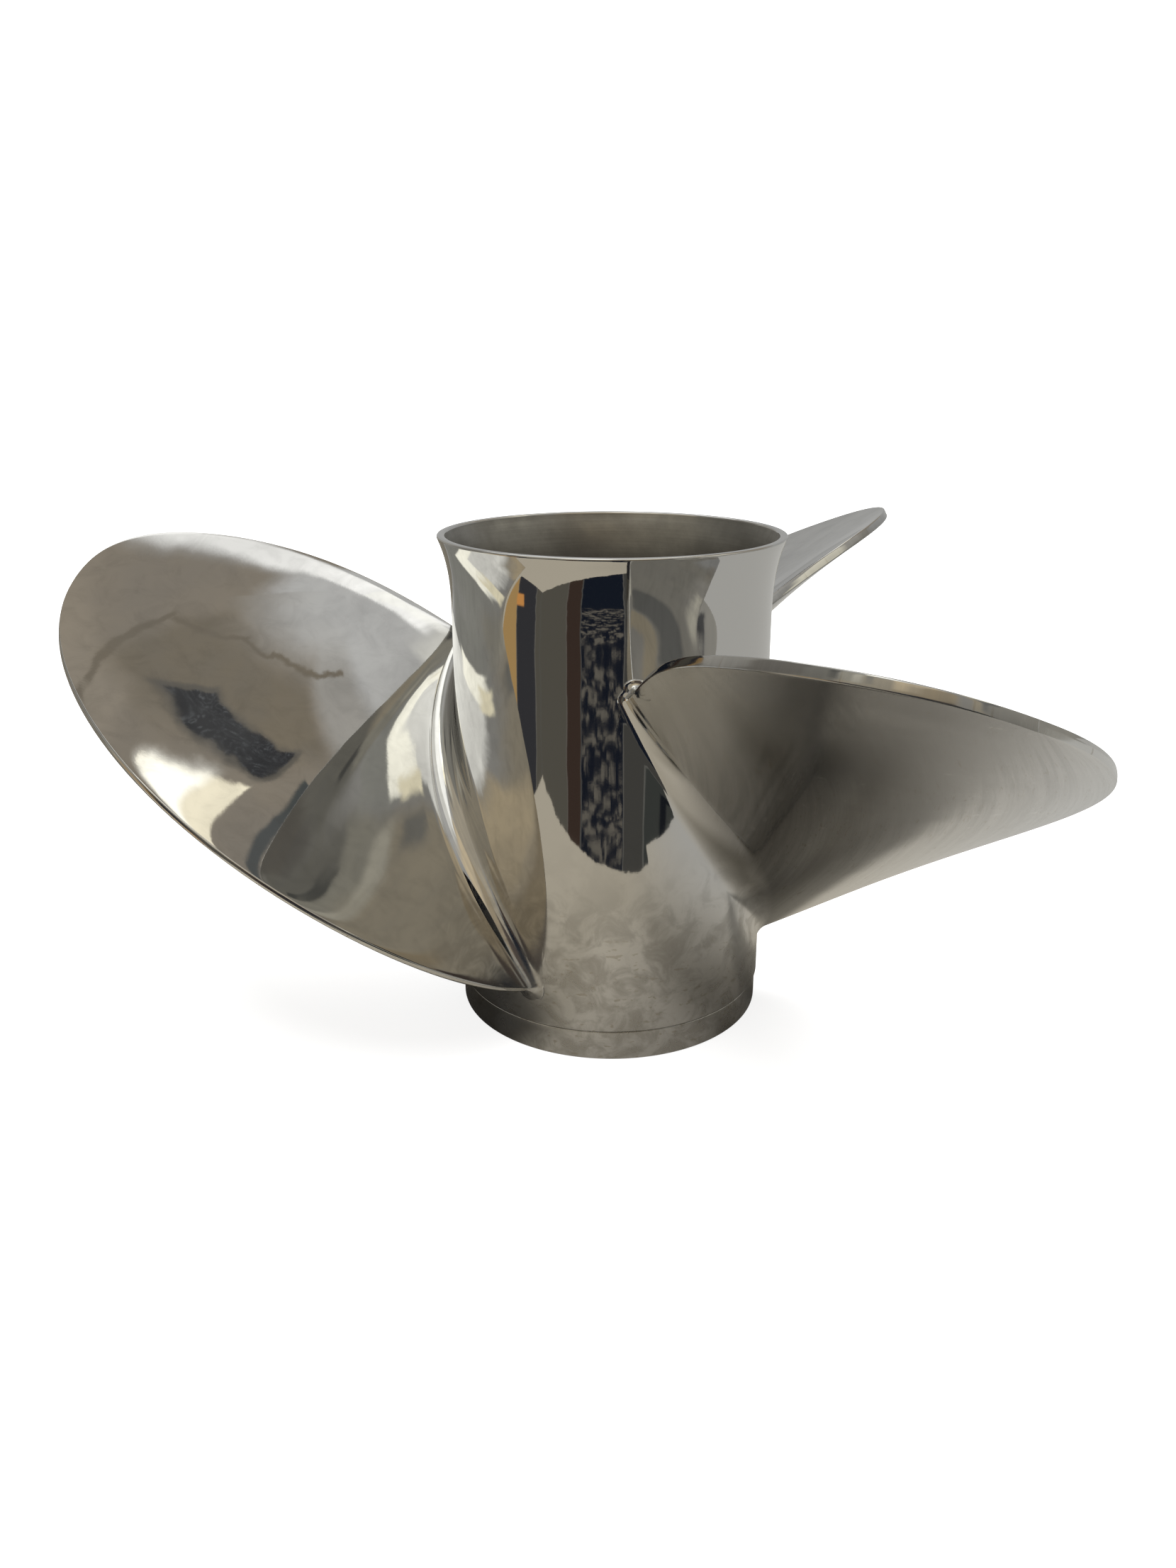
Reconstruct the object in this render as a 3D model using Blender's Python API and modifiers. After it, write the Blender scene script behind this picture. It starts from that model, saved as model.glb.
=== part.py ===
"""Three-bladed through-hub-exhaust propeller, standing on its forward end. Metres, +Z up.

The shaft axis is Z, with the flared aft rim on top. The barrel, blades, ribs and inner
hub are one casting on the real propeller, and are parted here where they meet. The rubber
bush and the splined sleeve are pressed into the inner hub. It turns as a left-hand screw.
"""
import math

import bmesh
import bpy
from mathutils import Matrix, Vector

MM = 0.001
SEAT_GAP = 0.3 * MM

# Barrel, heights from its forward end
HUB_LENGTH = 181.2 * MM
RIM_RADIUS = 62.5 * MM
RIM_WALL = 2.9 * MM
RIM_EDGE = 0.6 * MM
BARREL_FORWARD_RADIUS = 58.8 * MM
BARREL_AFT_RADIUS = 58.1 * MM
BARREL_BORE_RADIUS = 54.5 * MM
FLARE_LENGTH = 30 * MM
FLARE_POWER = 2.4
BAND_HEIGHT = 11.5 * MM
BAND_RADIUS = 58.2 * MM
BAND_EDGE = 0.5 * MM

# Blades: angles in radians about the axis, growing anticlockwise seen from aft
BLADE_COUNT = 3
BLADE_AZIMUTH = math.radians(199.1)
TIP_RADIUS = 198.8 * MM
ROOT_RADIUS = 57.75 * MM
CHORD_ANGLE = 1.48
CHORD_TAPER = (0.0, -0.7, 0.26)
OUTLINE_POWER = 3.0
OUTLINE_ROUNDING = 0.425
SKEW = (0.051, -0.576, 0.166)
ROOT_HEIGHT = 79.8 * MM
RAKE = (70.7 * MM, -31.9 * MM, 15.2 * MM)
PITCH_PER_RADIAN = (75.5 * MM, 12.8 * MM, -9.7 * MM)
ROOT_THICKNESS = 9.5 * MM
TIP_THICKNESS = 3 * MM
TRAILING_EDGE_ROOT = 3.2 * MM
TRAILING_EDGE_OUTER = 3.9 * MM
LEADING_EDGE = 1.8 * MM
FACE_SHARE = 0.35
PRESSURE_FILLET = 12 * MM
SUCTION_FILLET = 9 * MM
END_FILLET = 4 * MM
FILLET_AT_EDGES = 0.4

# Near its root a blade's rings keep level with the barrel's wall, up to this share of the span
LEVEL_SPAN = 0.2
LEVEL_ROUNDS = 4

# Inner hub, its ribs, and what is pressed into it
INNER_HUB_RADIUS = 33 * MM
INNER_HUB_BORE = 28 * MM
INNER_HUB_BOTTOM = 6 * MM
INNER_HUB_TOP = 122 * MM
INNER_HUB_EDGE = 1.2 * MM
RIB_COUNT = 3
RIB_AZIMUTH = math.radians(90)
RIB_THICKNESS = 6 * MM
RIB_BOTTOM = 14 * MM
RIB_TOP = 114 * MM
RIB_EDGE = 2 * MM
BUSH_BOTTOM = 14 * MM
BUSH_TOP = 108 * MM
SLEEVE_RADIUS = 18 * MM
SLEEVE_BOTTOM = 4 * MM
SLEEVE_TOP = 116 * MM
SPLINE_COUNT = 15
SPLINE_ROOT_RADIUS = 13.4 * MM
SPLINE_CREST_RADIUS = 11.6 * MM

# The origin is the centroid of the solids, this high above the forward end
CENTROID_HEIGHT = 87 * MM

TURN_STEPS = 72
SMALL_TURN_STEPS = 48
FLARE_POINTS = 7
CHORD_POINTS = 17
SPAN_STATIONS = 12
FILLET_ANGLES = (0, 30, 58)
ROOT_CAP_COLUMNS = 5
MERGE = 0.00001


def clear_scene():
    for thing in list(bpy.data.objects):
        bpy.data.objects.remove(thing, do_unlink=True)


def finish(name, colour, roughness, metallic):
    """A plain Principled material."""
    material = bpy.data.materials.new(name)
    material.use_nodes = True
    shader = material.node_tree.nodes["Principled BSDF"]
    shader.inputs["Base Color"].default_value = (*colour, 1.0)
    shader.inputs["Roughness"].default_value = roughness
    shader.inputs["Metallic"].default_value = metallic
    return material


def place(name, mesh, material, assembly, turn=0.0):
    """Adds a mesh as a named piece of the assembly, turned about the shaft axis."""
    piece = bpy.data.objects.new(name, mesh)
    assembly.users_collection[0].objects.link(piece)
    piece.parent = assembly
    piece.rotation_euler.z = turn
    if not mesh.materials:
        mesh.materials.append(material)
    return piece


def turned(name, profile, steps, material, assembly):
    """Turns a closed profile of (radius, height) points, outer side first, about Z."""
    mesh = bpy.data.meshes.new(name)
    points = [(radius, 0.0, height) for radius, height in profile]
    edges = [(i, (i + 1) % len(points)) for i in range(len(points))]
    mesh.from_pydata(points, edges, [])
    piece = place(name, mesh, material, assembly)
    screw = piece.modifiers.new("turn", "SCREW")
    screw.steps = steps
    screw.render_steps = steps
    screw.use_merge_vertices = True
    screw.merge_threshold = MERGE
    screw.use_smooth_shade = True
    return piece


def barrel_radius(height):
    """Outer radius of the barrel's straight, slightly tapered wall."""
    straight = HUB_LENGTH - FLARE_LENGTH - BAND_HEIGHT
    share = (height - BAND_HEIGHT) / straight
    return BARREL_FORWARD_RADIUS + (BARREL_AFT_RADIUS - BARREL_FORWARD_RADIUS) * share


def flare(start_radius, end_radius):
    """Points of the concave flare, from its start up to just under the rim."""
    points = []
    for i in range(FLARE_POINTS):
        share = i / (FLARE_POINTS - 1)
        height = HUB_LENGTH - FLARE_LENGTH + (FLARE_LENGTH - RIM_EDGE) * share
        points.append((start_radius + (end_radius - start_radius) * share ** FLARE_POWER, height))
    return points


def barrel_profile():
    rim_inside = RIM_RADIUS - RIM_WALL
    outside = flare(BARREL_AFT_RADIUS, RIM_RADIUS)[::-1]
    inside = flare(BARREL_BORE_RADIUS, rim_inside)
    step = [
        (BARREL_FORWARD_RADIUS, BAND_HEIGHT + BAND_EDGE),
        (BARREL_FORWARD_RADIUS - BAND_EDGE, BAND_HEIGHT),
        (BAND_RADIUS, BAND_HEIGHT),
        (BAND_RADIUS, BAND_EDGE),
        (BAND_RADIUS - BAND_EDGE, 0.0),
        (BARREL_BORE_RADIUS + BAND_EDGE, 0.0),
        (BARREL_BORE_RADIUS, BAND_EDGE),
    ]
    lip = [(rim_inside + RIM_EDGE, HUB_LENGTH), (RIM_RADIUS - RIM_EDGE, HUB_LENGTH)]
    return outside + step + inside + lip


def ring_profile(outer, inner, bottom, top, edge):
    """A plain ring with chamfered corners."""
    return [
        (outer - edge, top), (outer, top - edge), (outer, bottom + edge), (outer - edge, bottom),
        (inner + edge, bottom), (inner, bottom + edge), (inner, top - edge), (inner + edge, top),
    ]


def series(factors, share):
    return sum(factor * share ** (power + 1) for power, factor in enumerate(factors))


def mean_point(span, chord):
    """A point of the blade's middle surface.

    span runs from 0 on the barrel to 1 at the tip, chord from 0 at the trailing edge,
    which is aft, to 1 at the leading edge.
    """
    height = ROOT_HEIGHT
    for _ in range(4):
        root = barrel_radius(height) + SEAT_GAP
        radius = root + span * (TIP_RADIUS - root)
        share = (radius - ROOT_RADIUS) / (TIP_RADIUS - ROOT_RADIUS)
        width = CHORD_ANGLE * (1 + series(CHORD_TAPER, share))
        width *= max(0.0, 1 - share ** OUTLINE_POWER) ** OUTLINE_ROUNDING
        angle = series(SKEW, share) + (chord - 0.5) * width
        pitch = PITCH_PER_RADIAN[0] + series(PITCH_PER_RADIAN[1:], share)
        height = ROOT_HEIGHT + series(RAKE, share) - pitch * angle
    return Vector((radius * math.cos(angle), radius * math.sin(angle), height))


def thickness(span, chord):
    """Blade thickness: thick and square at the trailing edge, thin at the leading edge."""
    trailing = TRAILING_EDGE_ROOT + (TRAILING_EDGE_OUTER - TRAILING_EDGE_ROOT) * span
    trailing += (TIP_THICKNESS - TRAILING_EDGE_OUTER) * span ** 6
    leading = LEADING_EDGE + (TIP_THICKNESS - LEADING_EDGE) * span ** 3
    edge = trailing + (leading - trailing) * chord
    middle = ROOT_THICKNESS + (TIP_THICKNESS - ROOT_THICKNESS) * span
    return edge + (middle - edge) * (4 * chord * (1 - chord)) ** 0.8


def fillet_reach(radius, distance):
    """How far a round fillet stands out at a distance above the barrel."""
    if distance >= radius:
        return 0.0
    return radius - math.sqrt(radius ** 2 - (radius - distance) ** 2)


def on_barrel(point):
    """The point moved straight in or out to its seat around the barrel."""
    radius = barrel_radius(point.z) + SEAT_GAP
    scale = radius / math.hypot(point.x, point.y)
    return Vector((point.x * scale, point.y * scale, point.z))


def bare_point(span, chord, side):
    """A point of the skin without the root fillet, and the way in which the fillet spreads."""
    step = 0.001
    low, high = max(0.0, chord - step), min(1.0, chord + step)
    along = (mean_point(span, high) - mean_point(span, low)).normalized()
    near, far = span - step, min(1.0 - step * step, span + step)
    outward = mean_point(far, chord) - mean_point(near, chord)
    normal = along.cross(outward).normalized()
    if normal.z < 0:
        normal.negate()
    share = FACE_SHARE if side > 0 else 1 - FACE_SHARE
    share = 0.5 + (share - 0.5) * 4 * chord * (1 - chord)
    point = mean_point(span, chord) + normal * (side * share * thickness(span, chord))
    radial = Vector((point.x, point.y, 0)).normalized()
    sideways = (normal - radial * normal.dot(radial)).normalized()
    lengthways = (along - radial * along.dot(radial)).normalized()
    return point, sideways * side, lengthways


def surface_point(span, chord, side):
    """A point of the blade's skin: side is 1 on the aft pressure face, -1 on the other."""
    reach = TIP_RADIUS - BARREL_FORWARD_RADIUS
    distance = span * reach
    level = span
    for _ in range(LEVEL_ROUNDS):
        point, sideways, lengthways = bare_point(level, chord, side)
        wanted = barrel_radius(point.z) + SEAT_GAP + distance
        short = wanted - math.hypot(point.x, point.y)
        level += short / reach * max(0.0, 1 - span / LEVEL_SPAN)
    fillet = PRESSURE_FILLET if side > 0 else SUCTION_FILLET
    fillet *= FILLET_AT_EDGES + (1 - FILLET_AT_EDGES) * math.sin(math.pi * chord)
    end = abs(2 * chord - 1) ** 8 * math.copysign(1, chord - 0.5)
    spread = sideways * fillet_reach(fillet, distance)
    spread += lengthways * (end * fillet_reach(END_FILLET, distance))
    radius = math.hypot(point.x, point.y)
    across = Vector((-point.y, point.x, 0)) / radius
    point = Matrix.Rotation(spread.dot(across) / radius, 3, "Z") @ point
    point.z += spread.z
    return on_barrel(point) if span == 0 else point


def blade_spans():
    """Stations from root to tip, close together in the fillet and near the tip."""
    reach = TIP_RADIUS - BARREL_FORWARD_RADIUS
    spans = [PRESSURE_FILLET * (1 - math.cos(math.radians(a))) / reach for a in FILLET_ANGLES]
    start = math.asin(PRESSURE_FILLET / reach)
    end = math.radians(89.5)
    for i in range(SPAN_STATIONS):
        spans.append(math.sin(start + (end - start) * i / (SPAN_STATIONS - 1)))
    return spans


def blade_chords():
    """Places along the chord, closer together towards both edges."""
    last = CHORD_POINTS - 1
    return [0.5 - 0.5 * math.cos(math.pi * (0.06 + 0.88 * i / last)) for i in range(1, last)]


def blade_mesh():
    """A loft of unlike sections, with a root face that follows the barrel."""
    shape = bmesh.new()
    chords = [0.0, *blade_chords(), 1.0]
    rings = []
    for span in blade_spans():
        aft = [shape.verts.new(surface_point(span, chord, 1)) for chord in chords]
        fore = [shape.verts.new(surface_point(span, chord, -1)) for chord in chords]
        rings.append(aft + fore[::-1])
    for inner, outer in zip(rings, rings[1:]):
        join_loops(shape, inner, outer, closed=True)
    half = len(chords)
    tip_aft, tip_fore = rings[-1][:half], rings[-1][half:][::-1]
    join_loops(shape, tip_aft, tip_fore, closed=False)
    close_root(shape, rings[0][:half], rings[0][half:][::-1])
    bmesh.ops.recalc_face_normals(shape, faces=shape.faces)
    mesh = bpy.data.meshes.new("blade")
    shape.to_mesh(mesh)
    shape.free()
    mesh.shade_smooth()
    mesh.set_sharp_from_angle(angle=math.radians(40))
    return mesh


def join_loops(shape, first, second, closed):
    """Faces between two rows of the same number of points."""
    count = len(first)
    for i in range(count if closed else count - 1):
        after = (i + 1) % count
        shape.faces.new((first[i], first[after], second[after], second[i]))


def close_root(shape, aft, fore):
    """The root face, in columns that keep the seat gap all round the barrel."""
    columns = [aft]
    for i in range(1, ROOT_CAP_COLUMNS):
        share = i / ROOT_CAP_COLUMNS
        middle = [on_barrel(a.co.lerp(b.co, share)) for a, b in zip(aft, fore)]
        columns.append([shape.verts.new(point) for point in middle])
    columns.append(fore)
    for left, right in zip(columns, columns[1:]):
        join_loops(shape, left, right, closed=False)
    for end in (0, -1):
        shape.faces.new([column[end] for column in columns])


def rib_mesh():
    """A flat web from the inner hub to the barrel, with its fore and aft edges rounded."""
    inner = INNER_HUB_RADIUS + SEAT_GAP
    outer = BARREL_BORE_RADIUS - SEAT_GAP - (RIB_THICKNESS / 2) ** 2 / BARREL_BORE_RADIUS
    size = Vector((outer - inner, RIB_THICKNESS, RIB_TOP - RIB_BOTTOM))
    centre = Vector(((outer + inner) / 2, 0, (RIB_TOP + RIB_BOTTOM) / 2))
    shape = bmesh.new()
    place_box = Matrix.Translation(centre) @ Matrix.Diagonal((*size, 1))
    bmesh.ops.create_cube(shape, size=1, matrix=place_box)
    long_edges = [e for e in shape.edges if abs(e.verts[0].co.x - e.verts[1].co.x) > MM]
    bmesh.ops.bevel(
        shape, geom=long_edges, offset=RIB_EDGE, offset_type="OFFSET", affect="EDGES",
        segments=2, profile=0.5, material=-1,
    )
    mesh = bpy.data.meshes.new("hub_rib")
    shape.to_mesh(mesh)
    shape.free()
    return mesh


def spline_outline():
    """The sleeve's bore: flat-topped splines between round-bottomed grooves."""
    points = []
    pitch = 2 * math.pi / SPLINE_COUNT
    corners = ((0.08, SPLINE_CREST_RADIUS), (0.40, SPLINE_CREST_RADIUS),
               (0.52, SPLINE_ROOT_RADIUS), (0.96, SPLINE_ROOT_RADIUS))
    for tooth in range(SPLINE_COUNT):
        for share, radius in corners:
            angle = (tooth + share) * pitch
            points.append((radius * math.cos(angle), radius * math.sin(angle)))
    return points


def circle_outline(radius, count):
    turns = [2 * math.pi * i / count for i in range(count)]
    return [(radius * math.cos(turn), radius * math.sin(turn)) for turn in turns]


def sleeve(material, assembly):
    """The splined sleeve, a flat outline with a toothed hole drawn up to its length."""
    curve = bpy.data.curves.new("spline_sleeve", "CURVE")
    curve.dimensions = "2D"
    curve.fill_mode = "BOTH"
    curve.extrude = (SLEEVE_TOP - SLEEVE_BOTTOM) / 2
    for outline in (circle_outline(SLEEVE_RADIUS, SMALL_TURN_STEPS), spline_outline()):
        spline = curve.splines.new("POLY")
        spline.points.add(len(outline) - 1)
        for point, (x, y) in zip(spline.points, outline):
            point.co = (x, y, 0, 1)
        spline.use_cyclic_u = True
    piece = place("spline_sleeve", curve, material, assembly)
    piece.location.z = (SLEEVE_TOP + SLEEVE_BOTTOM) / 2
    return piece


def build():
    clear_scene()
    collection = bpy.data.collections.new("propeller")
    bpy.context.scene.collection.children.link(collection)
    assembly = bpy.data.objects.new("propeller_axis", None)
    collection.objects.link(assembly)
    assembly.location.z = -CENTROID_HEIGHT

    polished = finish("polished_steel", (0.55, 0.54, 0.52), 0.12, 1.0)
    cast = finish("cast_steel", (0.24, 0.23, 0.20), 0.6, 1.0)
    rubber = finish("rubber", (0.02, 0.02, 0.02), 0.8, 0.0)
    brass = finish("brass", (0.62, 0.47, 0.22), 0.35, 1.0)

    turned("barrel", barrel_profile(), TURN_STEPS, polished, assembly)
    blade = blade_mesh()
    for i in range(BLADE_COUNT):
        turn = BLADE_AZIMUTH + 2 * math.pi * i / BLADE_COUNT
        place(f"blade_{i + 1}", blade, polished, assembly, turn)

    hub = ring_profile(INNER_HUB_RADIUS, INNER_HUB_BORE, INNER_HUB_BOTTOM, INNER_HUB_TOP,
                       INNER_HUB_EDGE)
    turned("inner_hub", hub, SMALL_TURN_STEPS, cast, assembly)
    rib = rib_mesh()
    for i in range(RIB_COUNT):
        turn = RIB_AZIMUTH + 2 * math.pi * i / RIB_COUNT
        place(f"hub_rib_{i + 1}", rib, cast, assembly, turn)

    bush = ring_profile(INNER_HUB_BORE - SEAT_GAP, SLEEVE_RADIUS + SEAT_GAP, BUSH_BOTTOM,
                        BUSH_TOP, INNER_HUB_EDGE)
    turned("rubber_bush", bush, SMALL_TURN_STEPS, rubber, assembly)
    sleeve(brass, assembly)


build()
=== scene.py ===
"""Polished stainless propeller for a through-hub exhaust, dressed over its CAD frame.

The file is laid out as an add-on and is run as a script. Lengths are in metres, +Z is the
shaft axis with the flared aft rim on top, and the forward end stands on the floor.
"""
import math

import bmesh
import bpy
from bpy.props import (FloatProperty, FloatVectorProperty, IntProperty, PointerProperty)
from mathutils import Matrix, Vector


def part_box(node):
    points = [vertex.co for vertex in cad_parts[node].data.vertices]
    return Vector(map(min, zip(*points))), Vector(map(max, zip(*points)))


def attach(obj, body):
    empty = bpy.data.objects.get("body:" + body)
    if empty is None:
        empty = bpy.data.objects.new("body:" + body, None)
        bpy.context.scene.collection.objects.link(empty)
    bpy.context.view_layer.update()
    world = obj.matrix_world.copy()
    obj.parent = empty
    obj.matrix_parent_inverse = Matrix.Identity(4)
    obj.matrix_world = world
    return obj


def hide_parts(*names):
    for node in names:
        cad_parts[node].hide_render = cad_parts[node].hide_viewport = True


bl_info = {
    "name": "Stainless propeller",
    "version": (1, 0, 0),
    "blender": (4, 5, 0),
    "location": "3D View > Sidebar > Propeller",
    "description": "A three-bladed stainless propeller with its hub, on a pale floor",
    "category": "Add Mesh",
}

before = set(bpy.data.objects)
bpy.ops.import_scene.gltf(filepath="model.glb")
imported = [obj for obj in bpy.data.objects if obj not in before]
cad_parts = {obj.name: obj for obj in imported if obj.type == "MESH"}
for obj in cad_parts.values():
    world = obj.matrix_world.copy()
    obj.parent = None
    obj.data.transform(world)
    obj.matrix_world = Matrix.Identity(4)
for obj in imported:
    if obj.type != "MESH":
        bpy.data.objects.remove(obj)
MM = 0.001
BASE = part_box("barrel")[0].z

# How finely the casting is divided
ROOT_STEPS = 64
GAP_STEPS = 14
ROWS_FORWARD = 36
ROWS_AFT = 44
FACE_STEPS = 2
CORNER_STEPS = 5
NOSE_STEPS = 6
FILLET_STEPS = 11
INNER_STEPS = 22
TIP_STEPS = 34
TIP_START = 0.6
TIP_CLOSE = 0.0008
RELAX_ROUNDS = 160
# Points closer than this are joined
WELD = 0.002 * MM
# The least span of a blade's points, which tells them from the barrel's
LEAST_SPAN = 0.002
# Steps around the trailing edge over which the aft face's finish gives way to the other one's
FINISH_STEPS = 4

# How finely the hub's pieces are divided, and how far the webs run into the walls
WEB_STEPS = 7
WEB_SINK = 0.8 * MM
SPLINE_STEPS = 20
LEAD_STEPS = 6
ROUND_STEPS = 96
# Half of a spline's flat top and the run of its flank, as shares of the step between splines
SPLINE_TOP = 0.16
SPLINE_FLANK = 0.18
# The bush's end faces between their lips: how far in they start and how deep they lie, in lip sizes
LIP_WIDTH = 2.2
LIP_DEPTH = 0.8


def length_of(name, description, default):
    return FloatProperty(name=name, description=description, default=default, unit="LENGTH")


def angle_of(name, description, default):
    return FloatProperty(name=name, description=description, default=default, unit="ROTATION")


def colour_of(name, description, default):
    return FloatVectorProperty(name=name, description=description, default=default, subtype="COLOR")


class BarrelSizes(bpy.types.PropertyGroup):
    length: length_of("Length", "Height from the forward end to the aft rim", 0.1812)
    rim_radius: length_of("Rim radius", "Outer radius of the flared aft rim", 0.0625)
    rim_wall: length_of("Rim wall", "Width of the flat lip of the aft rim", 0.0029)
    forward_radius: length_of("Forward radius", "Outer radius above the band", 0.0588)
    aft_radius: length_of("Aft radius", "Outer radius where the flare starts", 0.0581)
    bore_radius: length_of("Bore radius", "Inner radius of the barrel", 0.0545)
    flare: length_of("Flare", "Height of the flare under the aft rim", 0.03)
    flare_power: FloatProperty(name="Flare power", description="How late the flare opens out",
                               default=2.9)
    band: length_of("Band", "Height of the machined band at the forward end", 0.0115)
    band_radius: length_of("Band radius", "Outer radius of the band", 0.0582)
    edge: length_of("Edge", "Radius of the barrel's rounded edges", 0.0006)
    groove: length_of("Groove", "Width and depth of the groove over the band", 0.0004)


class BladeSizes(bpy.types.PropertyGroup):
    azimuth: angle_of("Azimuth", "Where the first blade's root is centred", math.radians(199.1))
    tip_radius: length_of("Tip radius", "From the shaft axis to the tips", 0.1988)
    root_radius: length_of("Root radius", "Where the blade's sizes start", 0.05775)
    chord: angle_of("Chord", "Angle that a blade's root spans about the axis", 1.48)
    taper: FloatVectorProperty(name="Taper", description="Change of the chord towards the tip",
                               default=(0.0, -0.7, 0.26))
    outline_power: FloatProperty(name="Outline power", description="How late the outline closes",
                                 default=3.0)
    outline_rounding: FloatProperty(name="Outline rounding", description="How round the tip is",
                                    default=0.425)
    skew: FloatVectorProperty(name="Skew", description="Sweep of the outline towards the tip",
                              default=(0.051, -0.576, 0.166))
    root_height: length_of("Root height", "Height of the root's middle", 0.0798)
    rake: FloatVectorProperty(name="Rake", description="Rise of the blade towards the tip",
                              default=(0.0707, -0.0319, 0.0152), unit="LENGTH")
    pitch: FloatVectorProperty(name="Pitch", description="Fall for each radian, and its change",
                               default=(0.0755, 0.0128, -0.0097), unit="LENGTH")
    root_thickness: length_of("Root thickness", "Mid-chord thickness at the root", 0.0095)
    tip_thickness: length_of("Tip thickness", "Thickness at the tip", 0.003)
    trailing_edge: FloatVectorProperty(name="Trailing edge", description="Width at root and outboard",
                                       size=2, default=(0.0032, 0.0039), unit="LENGTH")
    leading_edge: length_of("Leading edge", "Thickness of the leading edge", 0.0018)
    face_share: FloatProperty(name="Face share", description="Part of the thickness on the aft face",
                              default=0.35, subtype="FACTOR")
    pressure_fillet: length_of("Aft fillet", "Root fillet on the aft face", 0.012)
    suction_fillet: length_of("Forward fillet", "Root fillet on the other face", 0.009)
    edge_fillet: FloatProperty(name="Edge fillet", description="Share of the fillet at the edges",
                               default=0.4, subtype="FACTOR")
    corner: length_of("Corner", "Rounding of the trailing edge's corners", 0.0005)
    tip_change: FloatVectorProperty(name="Tip change", description="How much longer each blade is",
                                    default=(0.0, 0.0025, -0.001), unit="LENGTH")


class HubSizes(bpy.types.PropertyGroup):
    radius: length_of("Hub radius", "Outer radius of the inner hub", 0.033)
    bore: length_of("Hub bore", "Radius where the rubber bush sits", 0.028)
    rib: length_of("Rib", "Thickness of the webs to the barrel", 0.006)
    rib_fillet: length_of("Rib fillet", "Rounding where the webs meet the walls", 0.004)
    web_edge: length_of("Web edge", "Rounding of the webs' upper and lower edges", 0.0018)
    hub_edge: length_of("Hub edge", "Rounding of the inner hub's ends", 0.0012)
    bush_lip: length_of("Bush lip", "Moulded lips at the bush's ends", 0.0011)
    sleeve_edge: length_of("Sleeve edge", "Rounding of the sleeve's ends", 0.0007)
    spline_lead: length_of("Spline lead", "Length of the lead-in cones", 0.003)
    sleeve_radius: length_of("Sleeve radius", "Outer radius of the sleeve", 0.018)
    splines: IntProperty(name="Splines", description="Number of splines in the sleeve", default=15)
    spline_root: length_of("Spline root", "Radius of the grooves' bottoms", 0.0134)
    spline_crest: length_of("Spline crest", "Radius of the splines' tops", 0.0116)


class FinishColours(bpy.types.PropertyGroup):
    steel: colour_of("Steel", "Polished stainless steel", (0.605, 0.60, 0.585))
    stain: colour_of("Stain", "Warm film on the duller steel", (0.33, 0.29, 0.22))
    bore: colour_of("Cast bore", "Matt steel inside the barrel", (0.375, 0.367, 0.345))
    rubber: colour_of("Rubber", "Hub bush", (0.018, 0.017, 0.016))
    brass: colour_of("Brass", "Splined sleeve", (0.62, 0.45, 0.20))


class StageSizes(bpy.types.PropertyGroup):
    floor: length_of("Floor", "Half the width of the floor", 4.0)
    camera_distance: length_of("Camera distance", "From the shaft axis", 0.4405)
    camera_height: length_of("Camera height", "Above the floor", 0.2401)
    camera_yaw: angle_of("Camera yaw", "Turn away from the axis", -0.0194)
    camera_pitch: angle_of("Camera pitch", "How far the camera looks down", 0.3378)
    lens: FloatProperty(name="Lens", description="Focal length on a 36 mm sensor", default=27.88)
    sheet: colour_of("Sheet", "The floor as the steel mirrors it", (0.150, 0.137, 0.112))
    sheet_right: colour_of("Sheet right", "The sheet's right side", (0.140, 0.139, 0.134))
    lamp: FloatProperty(name="Lamp", description="Strength of the wide lamp overhead", default=10.5)
    lamp_from: FloatVectorProperty(name="Lamp from", description="Direction that the lamp shines from",
                                   default=(0.24, -0.15, 1.0))
    lamp_spread: angle_of("Lamp spread", "Angle that the lamp spans", math.radians(62))
    sheet_edge: length_of("Sheet edge", "Where it ends in front of the axis", 0.240)
    sheet_slope: FloatProperty(name="Sheet slope", description="How its edge runs across",
                               default=0.08)
    sheet_corner: FloatVectorProperty(name="Sheet corner", description="Where its left side ends",
                                      size=2, default=(-0.262, -0.145), unit="LENGTH")


def series(factors, share):
    return sum(factor * share ** (power + 1) for power, factor in enumerate(factors))


def smooth(share):
    share = min(1.0, max(0.0, share))
    return share * share * (3 - 2 * share)


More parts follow.
